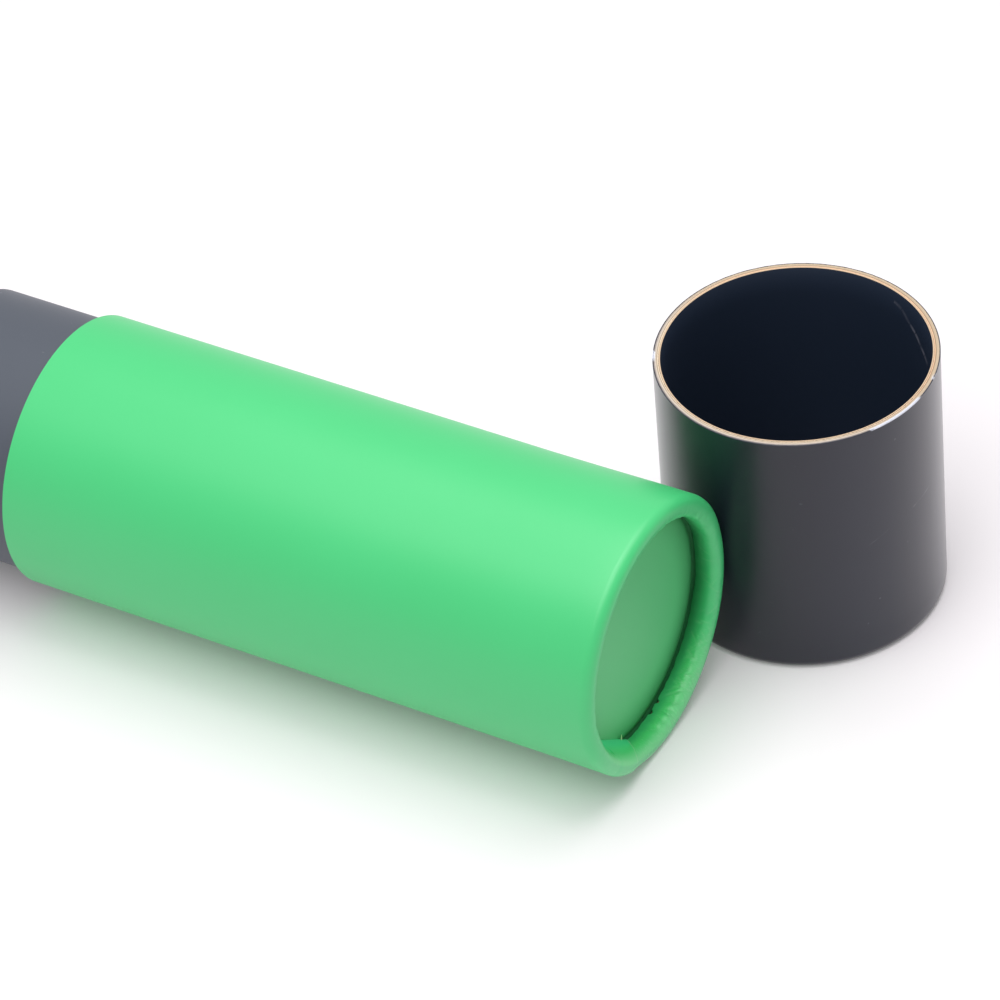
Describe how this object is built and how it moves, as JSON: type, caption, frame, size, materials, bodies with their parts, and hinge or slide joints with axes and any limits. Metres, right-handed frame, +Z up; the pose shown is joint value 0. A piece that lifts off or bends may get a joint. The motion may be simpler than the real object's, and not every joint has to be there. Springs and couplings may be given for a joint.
{
  "type": "kraft paper tube",
  "caption": "Telescoping paper tube lying on its side, with a rolled rim and a recessed end disc, its inner neck showing, and its open cap standing beside it.",
  "frame": {"origin": "on the floor under the middle of the set's bounding box", "axes": "+X along the lying tube towards its rolled rim, +Y across towards the standing cap, +Z up"},
  "size_m": [0.2452, 0.146, 0.075],
  "materials": {
    "kraft_board": "matte",
    "green_paper": "satin",
    "charcoal_paper": "satin",
    "charcoal_card": "satin",
    "lining_card": "matte"
  },
  "bodies": {
    "root": {"sleeve_board_tube": "kraft_board", "sleeve_wrap_paper": "green_paper", "sleeve_end_disc": "green_paper", "neck_board_tube": "kraft_board", "neck_cover_card": "charcoal_card", "cap_board_tube": "kraft_board", "cap_wrap_paper": "charcoal_paper", "cap_lining_card": "lining_card", "cap_end_disc": "lining_card"}
  },
  "joints": []
}
